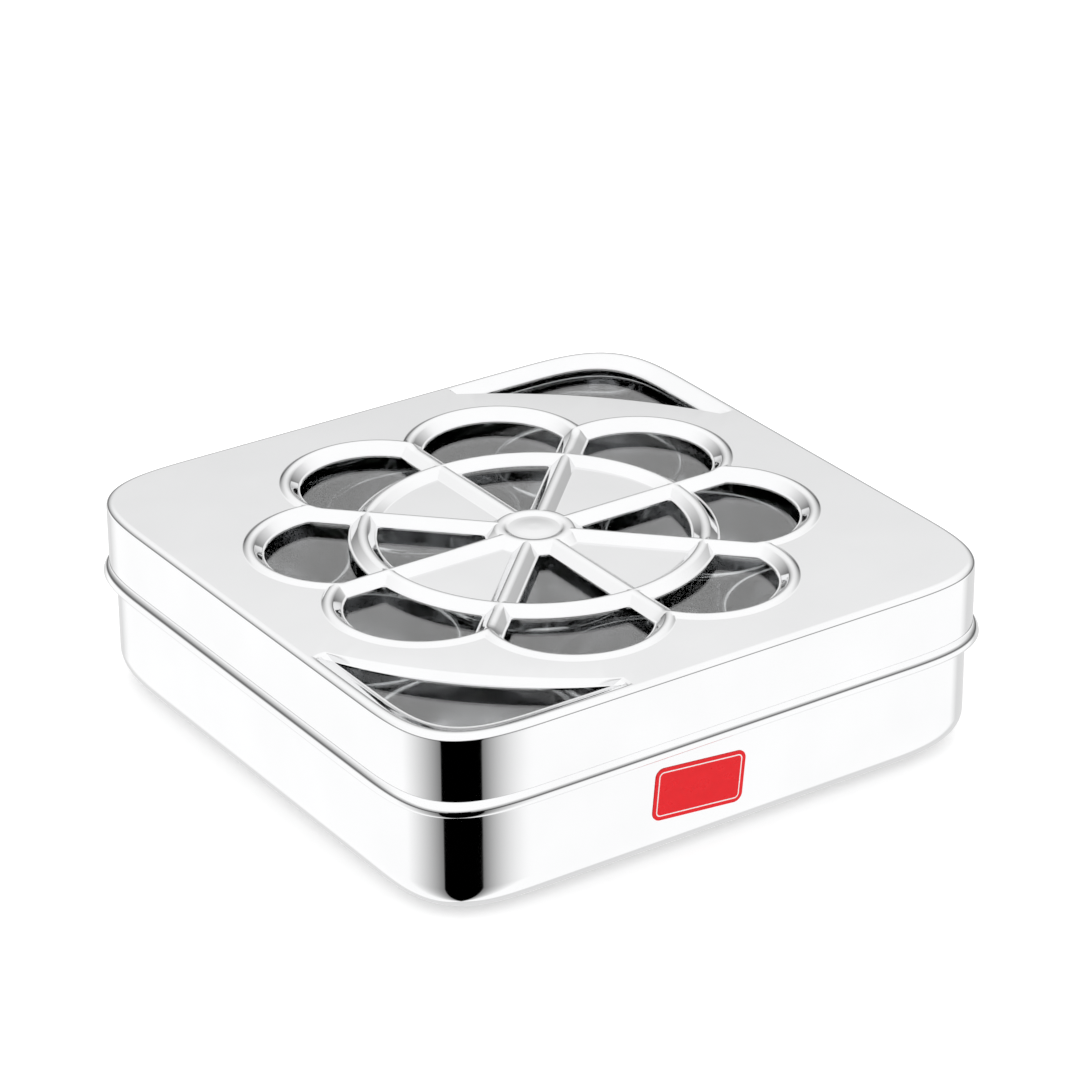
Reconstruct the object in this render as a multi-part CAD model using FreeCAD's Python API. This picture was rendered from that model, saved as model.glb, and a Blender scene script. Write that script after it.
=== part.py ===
"""Square stainless-steel spice box (masala dabba) with a see-through flower lid.

Frame: +Z up, origin at the centre of the underside of the pan. -Y is the front wall with the label.
Lengths are in millimetres and angles in degrees. Each piece is written to parts/NAME.step.
"""
import FreeCAD, Part
import math
import os

from FreeCAD import Vector

UP = Vector(0, 0, 1)
ORIGIN = Vector(0, 0, 0)

# Lid: one steel pressing with a curled lower edge.
lid_side = 220.0
lid_corner_radius = 28.0
panel_height = 65.0          # top of the flat panel above the table
lid_sheet = 0.6
lid_edge_radius = 2.0
lid_depth = 27.4             # panel top to the underside of the curl
curl_height = 5.1
curl_stand_out = 1.8
curl_corner_share = 0.45     # rounding of the curl's outer edges, as a share of its width

# Flower pressed into the lid: eight petals round a wheel with eight spokes.
petal_count = 8
petal_reach = 63.5           # hub centre to petal centre
petal_crest_radius = 29.8
petal_foot_run = 2.2         # crest to outer foot, on the panel
petal_rise = 1.0             # petal crest above the panel
wheel_rise = 0.2             # spoke and ring crest above the panel
floor_drop = 2.4             # pressed floor below the panel
ridge_run = 4.0              # crest to inner foot
crest_radius = 1.4
window_margin = 0.7          # flat floor left round each punched window
ring_radius = 56.0
hub_radius = 11.6
hub_dish = 0.7
hub_rim_drop = 0.7           # rim's top down to its outer shoulder
window_corner_radius = 1.2
open_sectors = (1, 3, 5, 7)  # wheel sectors that are punched out, the others stay closed

# Corner windows, on one diagonal of the lid.
corner_signs = ((-1, -1), (1, 1))
corner_edge_inset = 2.2      # lid side to the top of the sloped border
corner_slope_run = 6.2
corner_lip_run = 1.92        # width of the slope on the hub side
corner_window_radius = 22.0
corner_crest_arc = 184.0
corner_crest_reach = 103.7   # hub centre to the crest line, along the diagonal
corner_window_arc = 131.0
corner_window_reach = 106.8
corner_band_start = 36.0     # where the sloped border begins, off the lid's middle line

# Window pane and the channel that holds it inside the lid.
pane_gap = 3.2               # pressed floor to pane
pane_thickness = 1.2
pane_play = 0.05
pane_edge_play = 0.3
channel_sheet = 0.5
channel_grip = 0.05          # channel to lid skirt
channel_top_flange = 3.0
channel_bottom_flange = 4.5
channel_web_above = 3.0

# Pan.
base_sheet = 0.6
lid_gap = 1.3                # lid skirt to pan wall
base_bottom_radius = 11.0
base_curl_radius = 1.3
rest_gap = 0.3               # between pieces that come apart

# Bowls, three by three.
bowls_per_row = 3
bowl_pitch = 67.6
bowl_rim_radius = 33.4
bowl_height = 42.6
bowl_sheet = 0.5
bowl_foot_inset = 10.4       # rim down to the flat foot, on plan
bowl_corner_radius = 7.0
bowl_rim_bead = 1.2

# Spoon, lying across the front bowls.
spoon_length = 96.0
spoon_bowl_radius = 10.0
spoon_bowl_depth = 5.5
spoon_sheet = 0.9
spoon_handle_width = 6.5
spoon_row_share = -0.42      # off the front bowls' centre line, as a share of their rim radius
spoon_tip_share = 0.24       # off the right bowl's centre, away from the middle, as the same share

# Label on the front wall.
label_width = 34.5
label_height = 18.0
label_thickness = 0.2
label_corner_radius = 3.0
label_tilt = 5.5
label_centre_x = -11.5
label_centre_z = 22.2

# Overlap of the shapes that are cut or fused, past the faces they make.
relief_depth = 1.8
relief_height = 5.0

# Sizes that follow from the ones above.
petal_step = 360.0 / petal_count
floor_height = panel_height - floor_drop
lid_inner_side = lid_side - 2 * lid_sheet
lid_bottom = panel_height - lid_depth
ridge_half_width = ridge_run + window_margin
pane_top = floor_height - pane_gap
pane_bottom = pane_top - pane_play - pane_thickness
channel_bottom = pane_bottom - channel_sheet
channel_side = lid_inner_side - 2 * channel_grip
pane_side = channel_side - 2 * (channel_sheet + pane_edge_play)
base_side = lid_side - 2 * (lid_sheet + lid_gap)
base_height = channel_bottom - rest_gap
bowl_seat = base_sheet + rest_gap
bowl_foot_radius = bowl_rim_radius - bowl_foot_inset
spoon_row_offset = spoon_row_share * bowl_rim_radius
spoon_tip_offset = spoon_tip_share * bowl_rim_radius


def corner_radius_for(side):
    """Corner radius of a rounded square that runs parallel to the lid's outline."""
    return lid_corner_radius - (lid_side - side) / 2


def rounded_square(side, height, radius=None):
    """Closed outline of a rounded square at a height."""
    radius = corner_radius_for(side) if radius is None else radius
    half = side / 2
    straight = half - radius
    edges = []
    for quarter in range(4):
        turn = FreeCAD.Rotation(UP, 90 * quarter)
        centre = Vector(straight, straight, height)
        start = Vector(half, straight, height)
        middle = centre + Vector(radius * math.cos(math.pi / 4), radius * math.sin(math.pi / 4), 0)
        end = Vector(straight, half, height)
        side_start = Vector(half, -straight, height)
        side_start, start, middle, end = [turn.multVec(p) for p in (side_start, start, middle, end)]
        edges.append(Part.LineSegment(side_start, start).toShape())
        edges.append(Part.Arc(start, middle, end).toShape())
    return Part.Wire(edges)


def rounded_block(side, bottom, top, radius=None):
    """Solid rounded square between two heights."""
    face = Part.Face(rounded_square(side, bottom, radius))
    return face.extrude(Vector(0, 0, top - bottom))


def edges_at(shape, height):
    """Edges of a shape that lie wholly at one height."""
    return [e for e in shape.Edges if all(abs(v.Z - height) < 1e-6 for v in e.Vertexes)
            and abs(e.CenterOfMass.z - height) < 1e-6]


def upright_edges(shape):
    """Straight vertical edges of a shape."""
    return [e for e in shape.Edges if len(e.Vertexes) == 2
            and abs(e.Vertexes[0].X - e.Vertexes[1].X) < 1e-6
            and abs(e.Vertexes[0].Y - e.Vertexes[1].Y) < 1e-6]


def fuse_all(shapes):
    """One solid from several that overlap."""
    return shapes[0].multiFuse(shapes[1:]) if len(shapes) > 1 else shapes[0]


def revolve(points_and_arcs, centre=ORIGIN):
    """Full turn about an upright axis of a closed (radius, height) outline.

    An item of two numbers is the next corner; an item of four is an arc's middle and end.
    """
    edges = []
    first = points_and_arcs[0]
    last = Vector(first[0], 0, first[1])
    for item in list(points_and_arcs[1:]) + [first]:
        end = Vector(item[-2], 0, item[-1])
        if len(item) == 4:
            edges.append(Part.Arc(last, Vector(item[0], 0, item[1]), end).toShape())
        elif last.distanceToPoint(end) > 1e-7:
            edges.append(Part.LineSegment(last, end).toShape())
        last = end
    face = Part.Face(Part.Wire(edges))
    solid = face.revolve(ORIGIN, UP, 360)
    solid.translate(centre)
    return solid


def at_angle(radius, angle, height=0.0):
    """Point at a radius and an angle round the hub."""
    return Vector(radius * math.cos(math.radians(angle)), radius * math.sin(math.radians(angle)), height)


def petal_angle(index):
    return petal_step * (index + 0.5)


def flank(run, drop):
    """Where the crest's arc ends and its middle, as (out, down) from the top of the crest.

    From there the flank runs straight to the foot at (run, drop).
    """
    length = math.hypot(run, drop - crest_radius)
    foot_angle = math.atan2(drop - crest_radius, run)
    touch_angle = foot_angle - math.acos(crest_radius / length)
    touch = (crest_radius * math.cos(touch_angle), crest_radius + crest_radius * math.sin(touch_angle))
    middle_angle = (touch_angle - math.pi / 2) / 2
    middle = (crest_radius * math.cos(middle_angle), crest_radius + crest_radius * math.sin(middle_angle))
    return touch, middle


def petal_mound(centre, lower):
    """Ground under a petal's crest and outer slope, down to below the pressed floor."""
    crest = panel_height + petal_rise - lower
    touch, middle = flank(petal_foot_run, petal_rise)
    return revolve([
        (0, floor_height - relief_depth),
        (petal_crest_radius + petal_foot_run, floor_height - relief_depth),
        (petal_crest_radius + petal_foot_run, panel_height - lower),
        (petal_crest_radius + touch[0], crest - touch[1]),
        (petal_crest_radius + middle[0], crest - middle[1], petal_crest_radius, crest),
        (0, crest),
    ], centre)


def petal_hollow(centre, lower):
    """Space inside a petal: over its inner slope and its floor."""
    crest = panel_height + petal_rise - lower
    touch, middle = flank(ridge_run, petal_rise + floor_drop)
    return revolve([
        (0, floor_height - lower),
        (petal_crest_radius - ridge_run, floor_height - lower),
        (petal_crest_radius - touch[0], crest - touch[1]),
        (petal_crest_radius - middle[0], crest - middle[1], petal_crest_radius, crest),
        (petal_crest_radius, crest + relief_height),
        (0, crest + relief_height),
    ], centre)


def wheel_profile(offset, lower):
    """Section of a ring or spoke ridge about a crest line at an offset."""
    crest = panel_height + wheel_rise - lower
    touch, middle = flank(ridge_run, wheel_rise + floor_drop)
    bury = floor_height - lower - lid_sheet / 2
    return [
        (offset - ridge_run, bury),
        (offset + ridge_run, bury),
        (offset + ridge_run, floor_height - lower),
        (offset + touch[0], crest - touch[1]),
        (offset, crest, offset - touch[0], crest - touch[1]),
        (offset - ridge_run, floor_height - lower),
    ]


def spoke(angle, lower):
    """Straight ridge from the hub to the cusp between two petals."""
    points = wheel_profile(0.0, lower)
    inner = hub_radius
    cusp = petal_reach * math.cos(math.radians(petal_step / 2))
    half_chord = petal_reach * math.sin(math.radians(petal_step / 2))
    outer = cusp + math.sqrt(petal_crest_radius ** 2 - half_chord ** 2)
    edges = []
    last = Vector(inner, points[0][0], points[0][1])
    for item in points[1:] + [points[0]]:
        end = Vector(inner, item[-2], item[-1])
        if len(item) == 4:
            edges.append(Part.Arc(last, Vector(inner, item[0], item[1]), end).toShape())
        else:
            edges.append(Part.LineSegment(last, end).toShape())
        last = end
    solid = Part.Face(Part.Wire(edges)).extrude(Vector(outer - inner, 0, 0))
    solid.rotate(ORIGIN, UP, angle)
    return solid


def hub(lower):
    """Round boss in the middle, with a raised rim and a shallow dish."""
    top = panel_height + wheel_rise - lower
    rim = hub_radius - crest_radius
    bury = floor_height - lower - lid_sheet / 2
    dish_edge = rim - crest_radius
    dish_rise = hub_dish / 2
    dome = (dish_edge ** 2 + dish_rise ** 2) / (2 * dish_rise)
    shoulder = (crest_radius ** 2 + hub_rim_drop ** 2) / (2 * hub_rim_drop)
    shoulder_out = rim + crest_radius / 2
    shoulder_top = top - shoulder + math.sqrt(shoulder ** 2 - (crest_radius / 2) ** 2)
    half_way = top - hub_dish / 2 - dome + math.sqrt(dome ** 2 - (dish_edge / 2) ** 2)
    return revolve([
        (0, bury),
        (hub_radius + ridge_run, bury),
        (hub_radius + ridge_run, floor_height - lower),
        (hub_radius, top - hub_rim_drop),
        (shoulder_out, shoulder_top, rim, top),
        (dish_edge, top - hub_dish),
        (dish_edge / 2, half_way, 0, top - hub_dish + dish_rise),
    ])


def corner_outline_centre(reach, arc, signs):
    """Centre of an arc that crosses the diagonal at a reach from the hub."""
    along = (reach - arc) / math.sqrt(2)
    return Vector(signs[0] * along, signs[1] * along, 0)


def corner_hollow(signs, lower):
    """Space over the sloped border round a corner window."""
    top_side = lid_side - 2 * corner_edge_inset
    floor_side = top_side - 2 * corner_slope_run
    lift = lid_sheet
    slope_out = corner_slope_run * lift / floor_drop
    upper = rounded_square(top_side + 2 * slope_out, panel_height + lift - lower,
                           corner_radius_for(top_side) + slope_out)
    bottom = rounded_square(floor_side, floor_height - lower, corner_window_radius)
    solid = Part.makeLoft([bottom, upper], True, True)
    quarter = Part.makeBox(lid_side, lid_side, panel_height)
    quarter.translate(Vector(corner_band_start, corner_band_start, panel_height / 2))
    if signs[0] < 0:
        quarter.rotate(ORIGIN, UP, 180)
    solid = solid.common(quarter)
    centre = corner_outline_centre(corner_crest_reach, corner_crest_arc, signs)
    arc_side = Part.makeCone(corner_crest_arc + corner_lip_run,
                             corner_crest_arc - corner_lip_run * lift / floor_drop,
                             floor_drop + lift, centre + Vector(0, 0, floor_height - lower))
    return solid.cut(arc_side)


def relief(block, lower):
    """Presses the flower and the corner windows' borders into a block."""
    petals = [at_angle(petal_reach, petal_angle(k)) for k in range(petal_count)]
    mounds = [petal_mound(c, lower) for c in petals]
    hollows = [petal_hollow(c, lower) for c in petals]
    well = Part.makeCylinder(ring_radius, floor_drop + relief_height, Vector(0, 0, floor_height - lower))
    block = fuse_all([block] + mounds)
    block = block.cut(fuse_all(hollows + [well]))
    ridges = [revolve(wheel_profile(ring_radius, lower)), hub(lower)]
    ridges += [spoke(petal_step * k, lower) for k in range(petal_count)]
    block = fuse_all([block] + ridges)
    for signs in corner_signs:
        block = block.cut(corner_hollow(signs, lower))
    return block


def punch_height():
    """Bottom and depth of the tool that punches the windows."""
    bottom = floor_height - floor_drop - lid_sheet
    return bottom, panel_height + relief_height - bottom


def petal_window(index):
    """Punch for the opening of one petal, between two spokes and outside the ring."""
    bottom, depth = punch_height()
    centre = at_angle(petal_reach, petal_angle(index), bottom)
    tool = Part.makeCylinder(petal_crest_radius - ridge_half_width, depth, centre)
    tool = tool.cut(Part.makeCylinder(ring_radius + ridge_half_width, depth, Vector(0, 0, bottom)))
    return clear_of_spokes(tool, index, bottom, depth)


def sector_window(index):
    """Punch for one open sector of the wheel, between hub and ring."""
    bottom, depth = punch_height()
    start = Vector(0, 0, bottom)
    tool = Part.makeCylinder(ring_radius - ridge_half_width, depth, start, UP, petal_step)
    tool.rotate(ORIGIN, UP, petal_step * index)
    tool = tool.cut(Part.makeCylinder(hub_radius + ridge_half_width, depth, start))
    return clear_of_spokes(tool, index, bottom, depth)


def clear_of_spokes(tool, index, bottom, depth):
    """Keeps a punch off the two spokes beside it and rounds its upright edges."""
    for k in (index, index + 1):
        bar = Part.makeBox(lid_side, 2 * ridge_half_width, depth, Vector(0, -ridge_half_width, bottom))
        bar.rotate(ORIGIN, UP, petal_step * k)
        tool = tool.cut(bar)
    return tool.makeFillet(window_corner_radius, upright_edges(tool))


def corner_window(signs):
    """Punch for one corner window."""
    bottom, depth = punch_height()
    side = lid_side - 2 * (corner_edge_inset + corner_slope_run + window_margin)
    tool = rounded_block(side, bottom, bottom + depth, corner_window_radius - window_margin)
    centre = corner_outline_centre(corner_window_reach, corner_window_arc, signs) + Vector(0, 0, bottom)
    tool = tool.cut(Part.makeCylinder(corner_window_arc, depth, centre))
    quarter = Part.makeBox(lid_side, lid_side, depth, Vector(0, 0, bottom))
    if signs[0] < 0:
        quarter.rotate(ORIGIN, UP, 180)
    return tool.common(quarter)


def lid_shell():
    """Pressed lid: skirt, panel with flower, punched windows and curled lower edge."""
    outer = rounded_block(lid_side, lid_bottom + curl_height / 2, panel_height)
    outer = outer.makeFillet(lid_edge_radius, edges_at(outer, panel_height))
    inner_top = panel_height - lid_sheet
    inner = rounded_block(lid_inner_side, lid_bottom - curl_height, inner_top)
    inner = inner.makeFillet(lid_edge_radius - lid_sheet, edges_at(inner, inner_top))
    shell = relief(outer, 0.0).cut(relief(inner, lid_sheet))
    windows = [petal_window(k) for k in range(petal_count)]
    windows += [sector_window(k) for k in open_sectors]
    windows += [corner_window(signs) for signs in corner_signs]
    shell = shell.cut(Part.makeCompound(windows))
    return shell.fuse(lid_curl()).removeSplitter()


def lid_curl():
    """Flattened roll round the lid's lower edge."""
    outer = rounded_block(lid_side + 2 * curl_stand_out, lid_bottom, lid_bottom + curl_height)
    inner = rounded_block(lid_inner_side, lid_bottom, lid_bottom + curl_height)
    ring = outer.cut(inner)
    rims = edges_at(ring, lid_bottom) + edges_at(ring, lid_bottom + curl_height)
    outer_rims = [e for e in rims if is_outside(e, lid_side / 2 + curl_stand_out)]
    return ring.makeFillet((curl_stand_out + lid_sheet) * curl_corner_share, outer_rims)


def is_outside(edge, half):
    """True for an edge that lies on a rounded square of this half side."""
    radius = corner_radius_for(2 * half)
    point = edge.valueAt((edge.FirstParameter + edge.LastParameter) / 2)
    x = abs(point.x)
    y = abs(point.y)
    straight = half - radius
    if x > straight and y > straight:
        return abs(math.hypot(x - straight, y - straight) - radius) < 1e-3
    return abs(max(x, y) - half) < 1e-3


def pane_channel():
    """Steel channel round the inside of the lid that grips the pane's edge."""
    web_top = pane_top + channel_sheet + channel_web_above
    shape = rounded_block(channel_side, channel_bottom, web_top)
    inside = channel_side - 2 * channel_sheet
    shape = shape.cut(rounded_block(inside, pane_bottom, pane_top))
    shape = shape.cut(rounded_block(inside, pane_top + channel_sheet, web_top))
    shape = shape.cut(rounded_block(inside - 2 * channel_bottom_flange, channel_bottom, pane_bottom))
    return shape.cut(rounded_block(inside - 2 * channel_top_flange, pane_top, pane_top + channel_sheet))


def base_pan():
    """Deep pan with a rounded bottom edge and a rim curled inwards."""
    outer = rounded_block(base_side, 0, base_height - base_curl_radius)
    outer = outer.makeFillet(base_bottom_radius, edges_at(outer, 0))
    inner_side = base_side - 2 * base_sheet
    inner = rounded_block(inner_side, base_sheet, base_height)
    inner = inner.makeFillet(base_bottom_radius - base_sheet, edges_at(inner, base_sheet))
    curl_line = base_side - 2 * base_curl_radius
    start = Vector(curl_line / 2, 0, base_height - base_curl_radius)
    path = rounded_square(curl_line, base_height - base_curl_radius)
    section = Part.Wire(Part.makeCircle(base_curl_radius, start, Vector(0, 1, 0)))
    curl = path.makePipeShell([section], True, False)
    return outer.cut(inner).fuse(curl).removeSplitter()


def spice_bowl(centre):
    """Spun bowl with a flat foot, a rounded lower corner and a beaded rim."""
    top = bowl_seat + bowl_height - bowl_rim_bead
    wall_out = bowl_rim_radius - 2 * bowl_rim_bead + bowl_sheet
    foot = bowl_foot_radius
    lean_start = foot + bowl_corner_radius
    wall_in = wall_out - bowl_sheet
    cut = bowl_corner_radius * (1 - math.sqrt(0.5))
    inner_corner = bowl_corner_radius - bowl_sheet
    inner_cut = inner_corner * (1 - math.sqrt(0.5))
    shell = revolve([
        (0, bowl_seat),
        (foot, bowl_seat),
        (lean_start - cut, bowl_seat + cut, lean_start, bowl_seat + bowl_corner_radius),
        (wall_out, top),
        (wall_in, top),
        (lean_start - bowl_sheet, bowl_seat + bowl_corner_radius),
        (lean_start - bowl_sheet - inner_cut, bowl_seat + bowl_sheet + inner_cut,
         foot, bowl_seat + bowl_sheet),
        (0, bowl_seat + bowl_sheet),
    ])
    bead = Part.makeTorus(bowl_rim_radius - bowl_rim_bead, bowl_rim_bead, Vector(0, 0, top))
    bowl = shell.fuse(bead).removeSplitter()
    bowl.translate(centre)
    return bowl


def bowl_places():
    """Name and centre of each bowl, from the front left to the back right."""
    rows = ("front", "middle", "back")
    columns = ("left", "middle", "right")
    places = {}
    for row, row_name in enumerate(rows):
        for column, column_name in enumerate(columns):
            x = bowl_pitch * (column - (bowls_per_row - 1) / 2)
            y = bowl_pitch * (row - (bowls_per_row - 1) / 2)
            name = "bowl_centre" if row == column == 1 else f"bowl_{row_name}_{column_name}"
            places[name] = Vector(x, y, 0)
    return places


def spoon():
    """Small spice spoon: a shallow round bowl and a flat handle, lying on the bowls' rims."""
    rim = bowl_seat + bowl_height + rest_gap
    ball = (spoon_bowl_radius ** 2 + spoon_bowl_depth ** 2) / (2 * spoon_bowl_depth)
    sky = Vector(0, 0, spoon_sheet + ball - spoon_bowl_depth)
    outer = Part.makeSphere(ball + spoon_sheet, sky)
    scoop = Part.makeSphere(ball, sky)
    reach = ball + spoon_sheet
    slab = Part.makeBox(2 * reach, 2 * reach, spoon_bowl_depth + spoon_sheet,
                        Vector(-reach, -reach, -spoon_bowl_depth))
    cup = outer.common(slab)
    handle_end = spoon_length - spoon_bowl_radius
    half = spoon_handle_width / 2
    handle = Part.makeBox(handle_end - half, spoon_handle_width, spoon_sheet, Vector(0, -half, 0))
    tip = Part.makeCylinder(half, spoon_sheet, Vector(handle_end - half, 0, 0))
    shape = cup.fuse([handle, tip]).cut(scoop).removeSplitter()
    shape.rotate(ORIGIN, UP, 180)
    centre_y = -bowl_pitch + spoon_row_offset
    shape.translate(Vector(bowl_pitch + spoon_tip_offset, centre_y, rim))
    return shape


def front_label():
    """Plain sticker on the front wall of the pan."""
    plate = Part.makeBox(label_width, label_thickness, label_height,
                         Vector(-label_width / 2, -label_thickness, -label_height / 2))
    corners = [e for e in plate.Edges if abs(e.Vertexes[0].X - e.Vertexes[1].X) < 1e-6
               and abs(e.Vertexes[0].Z - e.Vertexes[1].Z) < 1e-6]
    plate = plate.makeFillet(label_corner_radius, corners)
    plate.rotate(ORIGIN, Vector(0, 1, 0), label_tilt)
    plate.translate(Vector(label_centre_x, -base_side / 2, label_centre_z))
    return plate


def pieces():
    """Every piece by name."""
    made = {
        "base": base_pan(),
        "lid": lid_shell(),
        "window_pane": rounded_block(pane_side, pane_bottom, pane_bottom + pane_thickness),
        "pane_channel": pane_channel(),
        "spoon": spoon(),
        "label": front_label(),
    }
    for name, centre in bowl_places().items():
        made[name] = spice_bowl(centre)
    return made


os.makedirs("parts", exist_ok=True)
for name, shape in pieces().items():
    solids = shape.Solids
    if len(solids) != 1 or not shape.isValid():
        raise ValueError(f"{name}: {len(solids)} solids, valid {shape.isValid()}")
    solids[0].exportStep(f"parts/{name}.step")
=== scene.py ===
"""Square stainless-steel spice box with a see-through flower lid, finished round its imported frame."""
import math

import bmesh
import bpy
from mathutils import Matrix, Vector


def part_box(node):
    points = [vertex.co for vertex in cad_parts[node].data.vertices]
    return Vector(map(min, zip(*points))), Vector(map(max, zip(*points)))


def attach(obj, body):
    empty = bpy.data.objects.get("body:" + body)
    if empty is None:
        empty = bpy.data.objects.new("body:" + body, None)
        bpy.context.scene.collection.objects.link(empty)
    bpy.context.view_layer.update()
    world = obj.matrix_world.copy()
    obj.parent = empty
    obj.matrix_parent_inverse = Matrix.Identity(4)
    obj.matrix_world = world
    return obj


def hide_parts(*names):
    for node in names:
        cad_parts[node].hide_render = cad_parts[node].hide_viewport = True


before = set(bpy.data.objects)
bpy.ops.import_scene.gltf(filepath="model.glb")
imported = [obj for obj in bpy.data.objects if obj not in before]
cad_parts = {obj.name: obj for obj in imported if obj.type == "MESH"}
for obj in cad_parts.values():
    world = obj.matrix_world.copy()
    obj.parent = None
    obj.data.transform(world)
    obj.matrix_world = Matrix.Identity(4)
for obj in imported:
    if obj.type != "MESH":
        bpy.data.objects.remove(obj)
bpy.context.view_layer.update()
scene = bpy.context.scene

# Pan: the deep lower half, drawn in one piece from stainless sheet and mirror polished.
# Its walls turn into the corners gradually, the bottom edge is a wide radius, and the
# mouth is rolled inwards so that no cut edge shows.
pan_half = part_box("base")[1].x
pan_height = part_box("base")[1].z
pan_sheet = 0.0006
pan_bottom_radius = 0.011
pan_roll = 0.0013
corner_start = 0.060
corner_power = 3.87
corner_steps = 36
smooth_angle = math.radians(34)


def plan(half, height):
    """Points round the box at a height, for walls this far from its middle."""
    span = half - corner_start
    points = []
    for quarter in range(4):
        turn = Matrix.Rotation(quarter * math.pi / 2, 3, "Z")
        for step in range(corner_steps + 1):
            angle = math.pi / 2 * step / corner_steps
            across = corner_start + span * math.cos(angle) ** (2 / corner_power)
            along = corner_start + span * math.sin(angle) ** (2 / corner_power)
            points.append(turn @ Vector((across, along, height)))
    return points


def skin(bm, outlines):
    """Faces between closed outlines, each point joined to its own on the next one. Many of the outlines
    lie in one plane, where bridging loses their order. Gives back each outline's edges."""
    rows = [[bm.verts.new(p) for p in points] for points in outlines]
    rings = [[bm.edges.new((row[i - 1], row[i])) for i in range(len(row))] for row in rows]
    for one, other in zip(rows, rows[1:]):
        for i in range(len(one)):
            bm.faces.new((one[i - 1], one[i], other[i], other[i - 1]))
    return rings


def arc(centre, radius, start, end, steps):
    """Points of an arc in a section, from one angle in degrees to another."""
    angles = [math.radians(start + (end - start) * i / steps) for i in range(steps + 1)]
    return [(centre[0] + radius * math.cos(a), centre[1] + radius * math.sin(a)) for a in angles]


def make_piece(name, bm, body, replaced):
    """Object from a bmesh, riding on its body in place of a CAD node."""
    bmesh.ops.remove_doubles(bm, verts=bm.verts, dist=1e-6)
    bmesh.ops.recalc_face_normals(bm, faces=bm.faces)
    mesh = bpy.data.meshes.new(name)
    bm.to_mesh(mesh)
    bm.free()
    mesh.shade_smooth()
    mesh.set_sharp_from_angle(angle=smooth_angle)
    piece = bpy.data.objects.new(name, mesh)
    scene.collection.objects.link(piece)
    shading = piece.modifiers.new("even_shading", "WEIGHTED_NORMAL")
    shading.keep_sharp = True
    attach(piece, body)
    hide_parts(replaced)
    return piece


class Paint:
    """Node material with the few patterns that the pieces' finishes are mixed from."""

    def __init__(self, name, middle=(0, 0, 0)):
        self.material = bpy.data.materials.new(name)
        self.material.use_nodes = True
        self.nodes = self.material.node_tree.nodes
        self.links = self.material.node_tree.links
        self.shader = self.nodes["Principled BSDF"]
        place = self.nodes.new("ShaderNodeTexCoord")
        shift = self.nodes.new("ShaderNodeMapping")
        shift.inputs["Location"].default_value = [-c for c in middle]
        self.links.new(place.outputs["Object"], shift.inputs["Vector"])
        self.place = shift.outputs["Vector"]

    def turned_place(self):
        """Distance from the upright axis and height, for marks left by a lathe."""
        split = self.nodes.new("ShaderNodeSeparateXYZ")
        self.links.new(self.place, split.inputs["Vector"])
        flat = self.nodes.new("ShaderNodeCombineXYZ")
        self.links.new(split.outputs["X"], flat.inputs["X"])
        self.links.new(split.outputs["Y"], flat.inputs["Y"])
        away = self.nodes.new("ShaderNodeVectorMath")
        away.operation = "LENGTH"
        self.links.new(flat.outputs["Vector"], away.inputs["Vector"])
        joined = self.nodes.new("ShaderNodeCombineXYZ")
        self.links.new(away.outputs["Value"], joined.inputs["X"])
        self.links.new(split.outputs["Z"], joined.inputs["Z"])
        return joined.outputs["Vector"]

    def noise(self, scale, detail, stretch=(1, 1, 1), place=None):
        pull = self.nodes.new("ShaderNodeMapping")
        pull.inputs["Scale"].default_value = stretch
        self.links.new(place or self.place, pull.inputs["Vector"])
        pattern = self.nodes.new("ShaderNodeTexNoise")
        pattern.inputs["Scale"].default_value = scale
        pattern.inputs["Detail"].default_value = detail
        self.links.new(pull.outputs["Vector"], pattern.inputs["Vector"])
        return pattern.outputs["Fac"]

    def colour(self, factor, first, second):
        mix = self.nodes.new("ShaderNodeMix")
        mix.data_type = "RGBA"
        mix.inputs["A"].default_value = (*first, 1)
        mix.inputs["B"].default_value = (*second, 1)
        self.links.new(factor, mix.inputs["Factor"])
        self.links.new(mix.outputs["Result"], self.shader.inputs["Base Color"])

    def roughness(self, value, low, high):
        spread = self.nodes.new("ShaderNodeMapRange")
        spread.inputs["From Min"].default_value = 0.3
        spread.inputs["From Max"].default_value = 0.7
        spread.inputs["To Min"].default_value = low
        spread.inputs["To Max"].default_value = high
        self.links.new(value, spread.inputs["Value"])
        self.links.new(spread.outputs["Result"], self.shader.inputs["Roughness"])

    def relief(self, value, height, under=None):
        bump = self.nodes.new("ShaderNodeBump")
        bump.inputs["Distance"].default_value = height
        self.links.new(value, bump.inputs["Height"])
        if under:
            self.links.new(under, bump.inputs["Normal"])
        self.links.new(bump.outputs["Normal"], self.shader.inputs["Normal"])
        return bump.outputs["Normal"]


# Mirror polish, as rolled sheet takes it: a shade's difference over the surface, dull patches
# from handling, a wave too shallow to feel and hairlines along the rolling direction.
mirror = Paint("mirror_steel")
mirror.shader.inputs["Metallic"].default_value = 1.0
mirror.colour(mirror.noise(35, 3), (0.82, 0.822, 0.828), (0.88, 0.882, 0.887))
mirror.roughness(mirror.noise(55, 5), 0.03, 0.09)
wave = mirror.relief(mirror.noise(22, 2), 0.00006)
mirror.relief(mirror.noise(900, 4, (1, 0.06, 0.06)), 0.0000012, wave)

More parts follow.
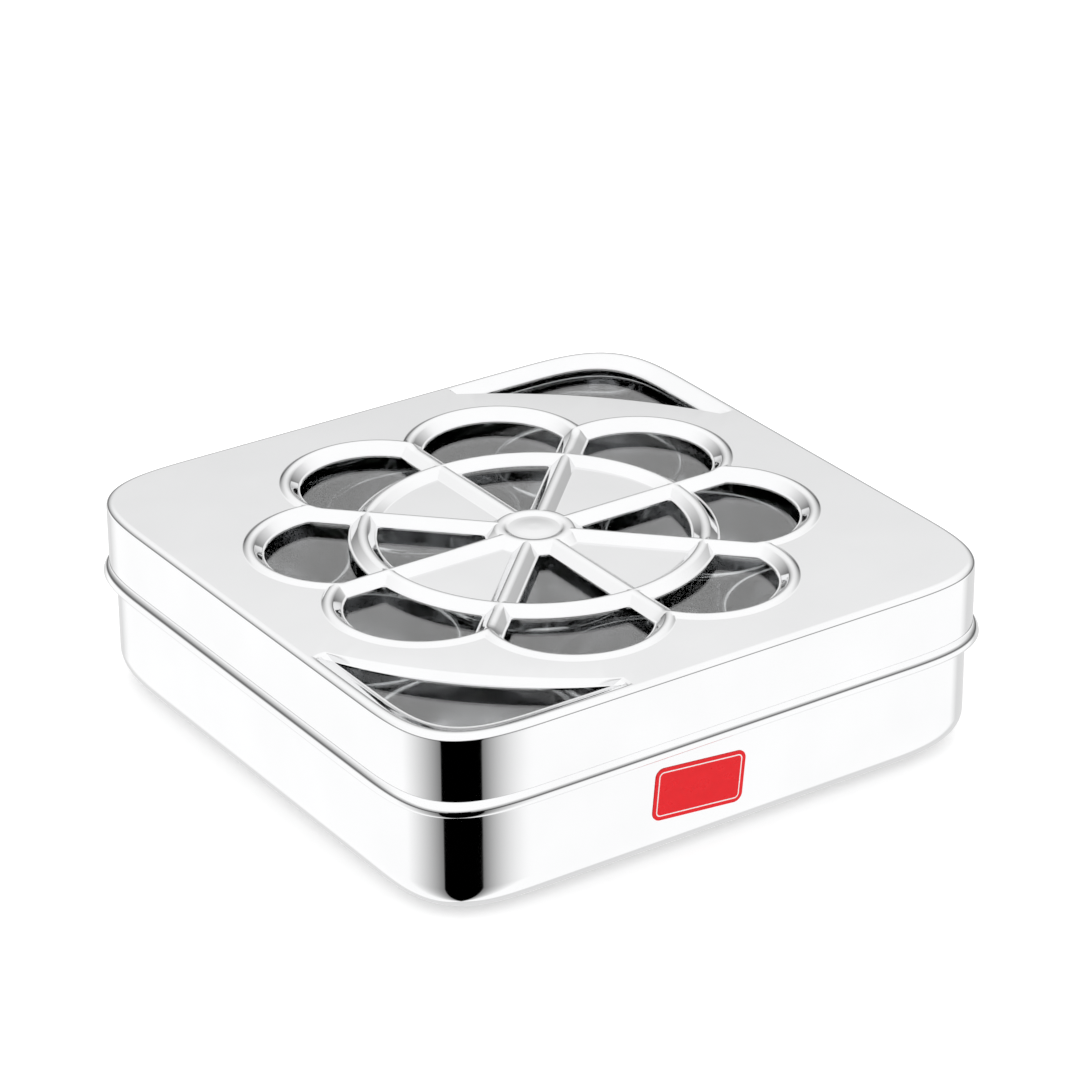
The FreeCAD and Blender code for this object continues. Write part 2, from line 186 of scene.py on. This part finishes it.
bm = bmesh.new()
outside = arc((pan_half - pan_bottom_radius, pan_bottom_radius), pan_bottom_radius, -90, 0, 12)
roll_centre = (pan_half - pan_roll, pan_height - pan_roll)
rim = arc(roll_centre, pan_roll, 0, 300, 20)
inner_corner = (pan_half - pan_bottom_radius, pan_bottom_radius)
inside = arc(inner_corner, pan_bottom_radius - pan_sheet, 0, -90, 10)
inside.insert(0, (pan_half - pan_sheet, pan_height - 2 * pan_roll))
pan_rings = skin(bm, [plan(*point) for point in outside + rim + inside])
bmesh.ops.contextual_create(bm, geom=pan_rings[0])
bmesh.ops.contextual_create(bm, geom=pan_rings[-1])
pan = make_piece("pan_shell", bm, "pan", "base")
pan.data.materials.append(mirror.material)

# Label: a small printed vinyl sticker with rounded corners, pressed on the front wall a
# little crooked. The print is a plain colour with a fine pale border, and no lettering.
label_low, label_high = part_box("label")
label_middle = (label_low + label_high) / 2
label_width = 0.0345
label_height = 0.018
label_corner = 0.003
label_tilt = math.radians(5.5)
label_depth = label_high.y - label_low.y
keyline_inset = 0.0013
keyline_width = 0.0004

bm = bmesh.new()
bmesh.ops.create_cube(bm, size=1)
bmesh.ops.scale(bm, vec=(label_width, label_depth, label_height), verts=bm.verts)
across = [e for e in bm.edges if abs(e.verts[0].co.y - e.verts[1].co.y) > label_depth / 2]
bmesh.ops.bevel(bm, geom=across, offset=label_corner, affect="EDGES", segments=10, profile=0.5, material=-1)
front = [f for f in bm.faces if f.normal.y < -0.9]
bmesh.ops.inset_region(bm, faces=front, thickness=keyline_inset, use_even_offset=True)
line = bmesh.ops.inset_region(bm, faces=front, thickness=keyline_width, use_even_offset=True)
for face in line["faces"]:
    face.material_index = 1
bmesh.ops.rotate(bm, matrix=Matrix.Rotation(label_tilt, 3, "Y"), verts=bm.verts)
bmesh.ops.translate(bm, vec=label_middle, verts=bm.verts)
label = make_piece("front_sticker", bm, "pan", "label")
for name, first, second in (("red_print", (0.68, 0.001, 0.006), (0.78, 0.002, 0.009)),
                            ("pale_print", (0.78, 0.76, 0.75), (0.86, 0.85, 0.84))):
    vinyl = Paint(name)
    vinyl.shader.inputs["Specular IOR Level"].default_value = 0.25
    vinyl.colour(vinyl.noise(400, 4), first, second)
    vinyl.roughness(vinyl.noise(250, 3), 0.24, 0.38)
    vinyl.relief(vinyl.noise(1500, 2), 0.000004)
    label.data.materials.append(vinyl.material)

# Bowls: nine small spun cups of thinner sheet, each with a flat foot, a soft lower corner
# and a beaded rim. They stand loose, three by three, and lift straight out.
bowl_names = [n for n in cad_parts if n.startswith("bowl_")]
bowl_sheet = 0.0005
bowl_foot = 0.023
bowl_corner = 0.007
bowl_bead = 0.0012
bowl_steps = 72


def bowl_section(radius, bottom, top):
    """Half section of a bowl, from the middle of its foot up, over the rim and down inside."""
    bead_height = top - bowl_bead
    wall = radius - 2 * bowl_bead + bowl_sheet
    outer = arc((bowl_foot, bottom + bowl_corner), bowl_corner, -90, 0, 8)
    bead = arc((radius - bowl_bead, bead_height), bowl_bead, -125, 180, 14)
    inner = arc((bowl_foot, bottom + bowl_corner), bowl_corner - bowl_sheet, 0, -90, 8)
    under_bead = (wall, bead_height - bowl_bead)
    return [(0, bottom)] + outer + [under_bead] + bead + inner + [(0, bottom + bowl_sheet)]


for name in sorted(bowl_names):
    low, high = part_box(name)
    middle = (low + high) / 2
    radius = (high.x - low.x) / 2
    bm = bmesh.new()
    verts = [bm.verts.new((middle.x + r, middle.y, z)) for r, z in bowl_section(radius, low.z, high.z)]
    edges = [bm.edges.new(pair) for pair in zip(verts, verts[1:])]
    bmesh.ops.spin(bm, geom=verts + edges, cent=(middle.x, middle.y, 0), axis=(0, 0, 1),
                   angle=math.tau, steps=bowl_steps, use_merge=True)
    bowl = make_piece(f"{name}_cup", bm, name, name)
    spun = Paint(f"{name}_steel", (middle.x, middle.y, 0))
    spun.shader.inputs["Metallic"].default_value = 1.0
    spun.colour(spun.noise(60, 3), (0.60, 0.60, 0.61), (0.69, 0.69, 0.70))
    spun.roughness(spun.noise(90, 4), 0.09, 0.20)
    spun.relief(spun.noise(1400, 3, (1, 1, 1), spun.turned_place()), 0.000006)
    bowl.data.materials.append(spun.material)

# Lid: one steel pressing. A flower of eight petals round a wheel is raised in the panel, its
# cells are pressed below the panel and mostly punched out, two corners have a long window
# each, and the lower edge is curled outwards into a stiff bead.
lid_low, lid_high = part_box("lid")
lid_half = 0.110
lid_sheet = 0.0006
lid_edge = 0.0020
curl_height = 0.0051
petals = 8
half_step = math.pi / petals
petal_reach = 0.0635
petal_radius = 0.0298
petal_foot = 0.0022
petal_rise = 0.0010
wheel_rise = 0.0002
floor_drop = 0.0024
ridge_run = 0.0040
crest_radius = 0.0026
window_margin = 0.0007
window_round = 0.0012
window_chamfer = 0.00012
wheel_radius = 0.056
hub_radius = 0.0116
panel = lid_high.z - petal_rise
floor_level = panel - floor_drop
open_sectors = (1, 3, 5, 7)
ring_steps = 24
spoke_steps = 8
fan_steps = 4
petal_steps = 56
rise_run = 0.004


def flank(run, drop):
    """Section of a ridge from its crest out to its foot as (out, down): a round top, a
    straight side and a small hollow at the foot."""
    length = math.hypot(run, drop - crest_radius)
    touch = math.atan2(drop - crest_radius, run) - math.acos(crest_radius / length)
    slope = touch + math.pi / 2
    top = [(crest_radius * math.sin(slope * i / 3), crest_radius * (1 - math.cos(slope * i / 3)))
           for i in range(4)]
    hollow = 0.0006
    cut = hollow * math.tan(slope / 2)
    foot = [(run + cut - hollow * math.sin(slope * i / 3),
             drop - hollow * (1 - math.cos(slope * i / 3))) for i in (3, 2, 1, 0)]
    return top + foot


def cell(inner_radius, centre, outer_radius, gap, rounding=0.0):
    """Outline of one cell of the flower about +X, a gap inside its crest lines.

    A cell lies between an arc round the hub, two spokes and an arc about a centre on +X.
    Gives each point with how far up the petal's crest it is, from 0 to 1.
    """
    outer_steps = petal_steps if centre else ring_steps
    inset = gap + rounding
    along = Vector((math.cos(half_step), math.sin(half_step)))
    inward = Vector((math.sin(half_step), -math.cos(half_step)))
    inner = inner_radius + inset
    outer = outer_radius - inset
    start = math.sqrt(inner ** 2 - inset ** 2)
    offset = inset * inward - Vector((centre, 0))
    end = -along.dot(offset) + math.sqrt(along.dot(offset) ** 2 - offset.length_squared + outer ** 2)
    near = start * along + inset * inward
    far = end * along + inset * inward
    inner_half = math.atan2(near.y, near.x)
    outer_half = math.atan2(far.y, far.x - centre)
    petal = 1.0 if centre else 0.0

    def fan(point, one, other, height):
        return [(point + rounding * one.lerp(other, i / fan_steps).normalized(), height)
                for i in range(fan_steps + 1)]

    points = []
    for i in range(ring_steps + 1):
        angle = inner_half * (2 * i / ring_steps - 1)
        ray = Vector((math.cos(angle), math.sin(angle)))
        points.append(((inner - rounding) * ray, 0.0))
    ray = Vector((math.cos(inner_half), math.sin(inner_half)))
    points += fan(near, -ray, -inward, 0.0)
    for i in range(1, spoke_steps):
        share = i / spoke_steps
        run = start + (end - start) * (1 - (1 - share) ** 2)
        lift = max(0.0, 1 - (end - run) / rise_run)
        points.append((run * along + (inset - rounding) * inward, petal * lift * lift * (3 - 2 * lift)))
    ray = Vector((math.cos(outer_half), math.sin(outer_half)))
    points += fan(far, -inward, ray, petal)
    for i in range(outer_steps + 1):
        angle = outer_half * (1 - 2 * i / outer_steps)
        ray = Vector((math.cos(angle), math.sin(angle)))
        points.append((Vector((centre, 0)) + (outer + rounding) * ray, petal))
    mirrored = [(Vector((p.x, -p.y)), height) for p, height in points]
    second = ring_steps + 1
    spoke_end = second + 2 * (fan_steps + 1) + spoke_steps - 1
    return points + mirrored[second:spoke_end][::-1]


def turned(outline, angle, drop):
    """Outline of a cell about its own angle, a drop below its crest line. The drop is given for a ridge
    of the wheel's height, and a petal's higher crest comes down further to the same floor."""
    turn = Matrix.Rotation(angle, 2)
    points = []
    for point, height in outline:
        spot = turn @ point
        crest = panel + wheel_rise + height * (petal_rise - wheel_rise)
        share = drop / (floor_drop + wheel_rise)
        points.append(Vector((spot.x, spot.y, crest - share * (crest - floor_level))))
    return points


bm = bmesh.new()
wheel_flank = flank(ridge_run, floor_drop + wheel_rise)
window_gap = ridge_run + window_margin
cells = []
for index in range(petals):
    angle = half_step * (2 * index + 1)
    cells.append((wheel_radius, petal_reach, petal_radius, angle, True))
    cells.append((hub_radius, 0.0, wheel_radius, angle, index in open_sectors))
for inner, centre, outer, angle, is_open in cells:
    outlines = [turned(cell(inner, centre, outer, out), angle, down) for out, down in wheel_flank]
    deepest = floor_drop + wheel_rise
    rim_gap = window_gap - window_chamfer
    outlines.append(turned(cell(inner, centre, outer, rim_gap, window_round), angle, deepest))
    if is_open:
        edge = turned(cell(inner, centre, outer, window_gap, window_round), angle, deepest + window_chamfer)
        outlines.append(edge)
    rings = skin(bm, outlines)
    if not is_open:
        bmesh.ops.contextual_create(bm, geom=rings[-1])
hub_profile = [(0.0109, 0.0), (0.0102, 0.00005), (0.0096, 0.0003), (0.0090, 0.0006), (0.0084, 0.0007),
               (0.0060, 0.00055), (0.0035, 0.00042), (0.0015, 0.00037)]
hub_angles = [math.tau * i / (petals * ring_steps) for i in range(petals * ring_steps)]
hub_top = panel + wheel_rise
hub_rings = []
for radius, down in [(hub_radius, 0.0)] + hub_profile:
    hub_rings.append([Vector((radius * math.cos(a), radius * math.sin(a), hub_top - down))
                      for a in hub_angles])
hub = skin(bm, hub_rings)
bmesh.ops.contextual_create(bm, geom=hub[-1])


def flower_outline(out, level):
    """Line round the whole flower, outside the petals' crests."""
    radius = petal_radius + out
    spoke_end = petal_reach * math.cos(half_step)
    spoke_end += math.sqrt(radius ** 2 - (petal_reach * math.sin(half_step)) ** 2)
    half = math.atan2(spoke_end * math.sin(half_step), spoke_end * math.cos(half_step) - petal_reach)
    points = []
    for index in range(petals):
        turn = Matrix.Rotation(half_step * (2 * index + 1), 3, "Z")
        for i in range(petal_steps):
            angle = half * (2 * i / petal_steps - 1)
            spot = (petal_reach + radius * math.cos(angle), radius * math.sin(angle), level)
            points.append(turn @ Vector(spot))
    return points


foot_border = 0.0026
outer_flank = flank(petal_foot, petal_rise) + [(foot_border, petal_rise)]
flower = skin(bm, [flower_outline(out, panel + petal_rise - down) for out, down in outer_flank])

# Corner windows of the lid, the same pressing: a sloped border comes down from the panel on
# the two outer sides and ends square, a steep lip closes the side towards the flower.
corner_top = lid_half - 0.0025
corner_foot = lid_half - 0.0084
corner_hole = lid_half - 0.0091
band_start = 0.036
band_steps = 6
lip_steps = 40
lip_arc = 0.184
lip_reach = 0.1037
hole_arc = 0.131
hole_reach = 0.1068
hole_end = 0.03976
lip_share = 0.65
lip_end_share = 0.95
border_steps = 8
border_blend = 0.16
border_ease = 0.35
foot_knee_place = (0.1035, 0.0372)


def corner_side(half, start, level):
    """Outer side of a corner window, from one end over the corner to the other."""
    gap = corner_start - start
    rise = [Vector((half, start + gap * i / band_steps, level)) for i in range(band_steps)]
    turn = plan(half, level)[:corner_steps + 1]
    return rise + turn + [Vector((p.y, p.x, level)) for p in rise[::-1]]


def corner_lip(arc_radius, reach, start, level):
    """Side of a corner window towards the flower, as an arc back from the far end."""
    middle = (reach - arc_radius) / math.sqrt(2)
    end = math.asin((start - middle) / arc_radius)
    points = []
    for i in range(lip_steps + 1):
        angle = math.pi / 2 - end + (2 * end - math.pi / 2) * i / lip_steps
        across, along = arc_radius * math.cos(angle), arc_radius * math.sin(angle)
        points.append(Vector((middle + across, middle + along, level)))
    return points


def swapped(point):
    return Vector((point.y, point.x, point.z))


def closed_corner(side, lip, knee):
    """One loop from a side, a lip and the knee between them at both ends."""
    return side + [swapped(knee)] + lip + [knee]


top_side = corner_side(corner_top, band_start, panel)
top_lip = corner_lip(lip_arc, lip_reach, band_start, panel)
top_knee = Vector((top_lip[-1].x * 0.6 + corner_top * 0.4, band_start, panel))
hole_side = corner_side(corner_hole, hole_end, floor_level)
hole_lip = corner_lip(hole_arc, hole_reach, hole_end, floor_level)
foot_lip = []
for step, (top_point, hole_point) in enumerate(zip(top_lip, hole_lip)):
    off_middle = abs(2 * step / lip_steps - 1)
    share = lip_share + (lip_end_share - lip_share) * off_middle ** 2
    foot_lip.append(top_point.lerp(hole_point, share))
    foot_lip[-1].z = floor_level
foot_side = corner_side(corner_foot, foot_lip[-1].y + 0.0002, floor_level)
foot_knee = Vector((*foot_knee_place, floor_level + 0.3 * floor_drop))
top_loop = closed_corner(top_side, top_lip, top_knee)
foot_loop = closed_corner(foot_side, foot_lip, foot_knee)
flat_knee = foot_side[0].lerp(foot_lip[-1], 0.5)
floor_loop = closed_corner(foot_side, foot_lip, flat_knee)
hole_loop = closed_corner(hole_side, hole_lip, hole_side[0].copy())
border = []
for step in range(border_steps + 1):
    share = step / border_steps
    share = share * share * (3 - 2 * share) * border_ease + share * (1 - border_ease)
    if share < border_blend:
        fall = share ** 2 / (2 * border_blend * (1 - border_blend))
    elif share > 1 - border_blend:
        fall = 1 - (1 - share) ** 2 / (2 * border_blend * (1 - border_blend))
    else:
        fall = (share - border_blend / 2) / (1 - border_blend)
    loop = []
    for top_point, foot_point in zip(top_loop, foot_loop):
        spot = top_point.lerp(foot_point, share)
        spot.z = top_point.z + (foot_point.z - top_point.z) * fall
        loop.append(spot)
    border.append(loop)
border += [floor_loop, hole_loop]
corner_rims = []
for half_turn in (0, math.pi):
    turn = Matrix.Rotation(half_turn, 3, "Z")
    rings = skin(bm, [[turn @ point for point in loop] for loop in border])
    corner_rims += rings[0]

# The flat of the lid between the flower, the corner windows and the edge, then the sheet's
# thickness, the skirt and the curl, where the sheet is rolled outwards on itself.
edge_border = 0.00225
panel_edge = skin(bm, [plan(lid_half - edge_border, panel)])[0]
bmesh.ops.triangle_fill(bm, use_beauty=True, edges=panel_edge + flower[-1] + corner_rims)
bmesh.ops.remove_doubles(bm, verts=bm.verts, dist=1e-6)
sheet_top = set(bm.faces)
pressed = bmesh.ops.extrude_face_region(bm, geom=bm.faces[:], use_keep_orig=True)
lower_verts = [v for v in pressed["geom"] if isinstance(v, bmesh.types.BMVert)]
bmesh.ops.translate(bm, vec=(0, 0, -lid_sheet), verts=lower_verts)
open_edge = [f for e in panel_edge for f in e.link_faces if f not in sheet_top]
bmesh.ops.delete(bm, geom=open_edge, context="FACES")

curl_out = lid_high.x - lid_half
curl_widest = lid_low.z + 0.0016
curl_top = curl_height - 0.0016
curl_under = (curl_out + lid_sheet) / 2
skirt = [(lid_half - edge_border, panel)]
skirt += arc((lid_half - lid_edge, panel - lid_edge), lid_edge, 90, 0, 10)
for step in range(13):
    angle = math.radians(90 - 90 * step / 12)
    slope = 2 / 1.6
    skirt.append((lid_half + curl_out * max(0, math.cos(angle)) ** slope,
                  curl_widest + curl_top * math.sin(angle) ** slope))
for step in range(1, 13):
    angle = math.radians(-180 * step / 12)
    skirt.append((lid_high.x - curl_under + curl_under * math.cos(angle),
                  curl_widest + (curl_widest - lid_low.z) * math.sin(angle)))
skirt += arc((lid_half - lid_edge, panel - lid_edge), lid_edge - lid_sheet, 0, 90, 8)
skirt.append((lid_half - edge_border, panel - lid_sheet))
skin(bm, [plan(*point) for point in skirt])
lid = make_piece("lid_pressing", bm, "lid", "lid")
lid.data.materials.append(mirror.material)

# Pane channel: a folded steel strip round the inside of the lid, tacked to its skirt, with
# two flanges that grip the pane's edge.
channel_low, channel_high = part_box("pane_channel")
pane_low, pane_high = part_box("window_pane")
channel_sheet = 0.0005
top_flange = 0.0030
bottom_flange = 0.0045
channel_play = 0.00005
channel_half = channel_high.x
web = channel_half - channel_sheet
slot_top = pane_high.z + channel_play
section = [(channel_half, channel_low.z), (channel_half, channel_high.z), (web, channel_high.z),
           (web, slot_top + channel_sheet), (web - top_flange, slot_top + channel_sheet),
           (web - top_flange, slot_top), (web, slot_top), (web, pane_low.z),
           (web - bottom_flange, pane_low.z), (web - bottom_flange, channel_low.z)]
bm = bmesh.new()
skin(bm, [plan(*point) for point in section + section[:1]])
channel = make_piece("pane_strip", bm, "lid", "pane_channel")
channel.data.materials.append(mirror.material)

# Window pane: one sheet of clear acrylic under the whole flower, held by its edge in the
# channel. It carries the haze and fine wiping scratches of a used plastic window.
bm = bmesh.new()
pane_rings = skin(bm, [plan(pane_high.x, pane_low.z), plan(pane_high.x, pane_high.z)])
bmesh.ops.contextual_create(bm, geom=pane_rings[0])
bmesh.ops.contextual_create(bm, geom=pane_rings[1])
pane = make_piece("clear_pane", bm, "lid", "window_pane")
acrylic = Paint("clear_acrylic")
acrylic.shader.inputs["Transmission Weight"].default_value = 1.0
acrylic.shader.inputs["IOR"].default_value = 1.7
acrylic.colour(acrylic.noise(25, 3), (0.90, 0.92, 0.92), (0.97, 0.98, 0.98))
acrylic.roughness(acrylic.noise(70, 6), 0.01, 0.05)
sag = acrylic.relief(acrylic.noise(9, 1), 0.0002)
acrylic.relief(acrylic.noise(500, 3, (1, 0.05, 1)), 0.0000015, sag)
pane.data.materials.append(acrylic.material)

# Spoon: a small stamped spice spoon with a round cup and a flat handle. It lies across the
# rims of the front bowls and keeps its own stamped shape.
stamped = Paint("spoon_steel")
stamped.shader.inputs["Metallic"].default_value = 1.0
stamped.colour(stamped.noise(80, 3), (0.60, 0.60, 0.61), (0.69, 0.69, 0.70))
stamped.roughness(stamped.noise(120, 4), 0.12, 0.24)
stamped.relief(stamped.noise(1200, 3, (0.05, 1, 1)), 0.000005)
bpy.data.objects["spoon"].data.materials[0] = stamped.material

# Studio: a plain pale floor and a white ceiling, a soft box on the left and on the right, a grey
# wall behind the box and a dark screen before its near corner. All of it stays put in the room.
floor_size = 6
floor_tone = 0.9
floor_glow = 0.35
bm = bmesh.new()
bmesh.ops.create_grid(bm, x_segments=1, y_segments=1, size=floor_size)
floor_mesh = bpy.data.meshes.new("floor")
bm.to_mesh(floor_mesh)
bm.free()
floor = bpy.data.objects.new("floor", floor_mesh)
scene.collection.objects.link(floor)
floor_paint = bpy.data.materials.new("floor_paint")
floor_paint.use_nodes = True
floor_shader = floor_paint.node_tree.nodes["Principled BSDF"].inputs
floor_shader["Base Color"].default_value = (floor_tone, floor_tone, floor_tone, 1)
floor_shader["Roughness"].default_value = 0.9
floor_shader["Specular IOR Level"].default_value = 0.0
floor_shader["Emission Color"].default_value = (1, 1, 1, 1)
floor_shader["Emission Strength"].default_value = floor_glow
floor.data.materials.append(floor_paint)
floor.visible_glossy = False

sky_strength = 1.15
room_grey = 0.7
screen_middle = 240
screen_half = 30
screen_top_half = 15
screen_height = 0.08
edge = 1
screen_left = screen_middle - screen_half
screen_right = screen_middle + screen_half
soft_boxes = [(90, room_grey), (105, 1.0), (150, 1.0), (screen_left, 0.2), (screen_left + edge, 0.0),
              (screen_right - edge, 0.0), (screen_right, 0.2), (300, 1.0), (345, 1.0), (360, room_grey)]
dark_screen = [(screen_middle - screen_top_half - edge, 1), (screen_middle - screen_top_half, 0),
               (screen_middle + screen_top_half, 0), (screen_middle + screen_top_half + edge, 1)]
near_share = [(screen_middle - 120, 0), (screen_middle - 90, 1), (screen_middle + 90, 1), (360, 0)]
table_edge = [(0.85, 1.0), (0.95, 0.2), (1, 0.1)]
far_wall = [(0, 0.1), (0.5, 0.9), (0.75, 1.0)]
near_wall = [(0, 0.2), (0.25, 1.0)]
world = bpy.data.worlds.new("studio")
scene.world = world
world.use_nodes = True
nodes = world.node_tree.nodes
links = world.node_tree.links
direction = nodes.new("ShaderNodeTexCoord")
axes = nodes.new("ShaderNodeSeparateXYZ")
links.new(direction.outputs["Generated"], axes.inputs["Vector"])
east, north, height = axes.outputs


def number(operation, first, second=0.0):
    made = nodes.new("ShaderNodeMath")
    made.operation = operation
    for socket, value in zip(made.inputs, (first, second)):
        if isinstance(value, (int, float)):
            socket.default_value = value
        else:
            links.new(value, socket)
    return made.outputs["Value"]


def ramp(value, stops, span=1):
    """Grey value along a quantity, through stops given in its own units."""
    made = nodes.new("ShaderNodeValToRGB")
    points = made.color_ramp.elements
    while len(points) < len(stops):
        points.new(0.5)
    for point, (place, shade) in zip(points, stops):
        point.position = place / span
        point.color = (shade, shade, shade, 1)
    links.new(value, made.inputs["Fac"])
    return made.outputs["Color"]


def blend(factor, first, second):
    made = nodes.new("ShaderNodeMix")
    made.data_type = "FLOAT"
    for name, value in (("Factor", factor), ("A", first), ("B", second)):
        if isinstance(value, (int, float)):
            made.inputs[name].default_value = value
        else:
            links.new(value, made.inputs[name])
    return made.outputs["Result"]


# Below the horizon the soft boxes and the screen go round the room; above it the walls
# brighten towards the ceiling, sooner on the near side, and the screen ends a little way up.
around = number("FRACT", number("DIVIDE", number("ARCTAN2", north, east), math.tau))
low_side = number("MULTIPLY", ramp(around, soft_boxes, 360), ramp(number("ADD", height, 1), table_edge))
screen = blend(number("GREATER_THAN", height, screen_height), ramp(around, dark_screen, 360), 1.0)
high_side = blend(ramp(around, near_share, 360), ramp(height, far_wall), ramp(height, near_wall))
high_side = number("MULTIPLY", high_side, screen)
sky = blend(number("GREATER_THAN", height, 0), low_side, high_side)
background = nodes["Background"]
links.new(sky, background.inputs["Color"])
background.inputs["Strength"].default_value = sky_strength
scene.view_settings.view_transform = "Standard"

camera_lens = 141.81
camera_place = (-0.69347, -1.03505, 0.67578)
camera_roll = math.radians(-0.379)
camera_data = bpy.data.cameras.new("camera")
camera_data.sensor_width = 36
camera_data.lens = camera_lens
camera_data.clip_start = 0.05
camera = bpy.data.objects.new("camera", camera_data)
scene.collection.objects.link(camera)
back = Vector((-0.50011, -0.74399, 0.44313))
right = Vector((0.82992, -0.55787, 0.0))
up = back.cross(right)
roll = Matrix.Rotation(camera_roll, 3, back)
look = Matrix((roll @ right, roll @ up, back)).transposed().to_4x4()
camera.matrix_world = Matrix.Translation(camera_place) @ look
scene.camera = camera
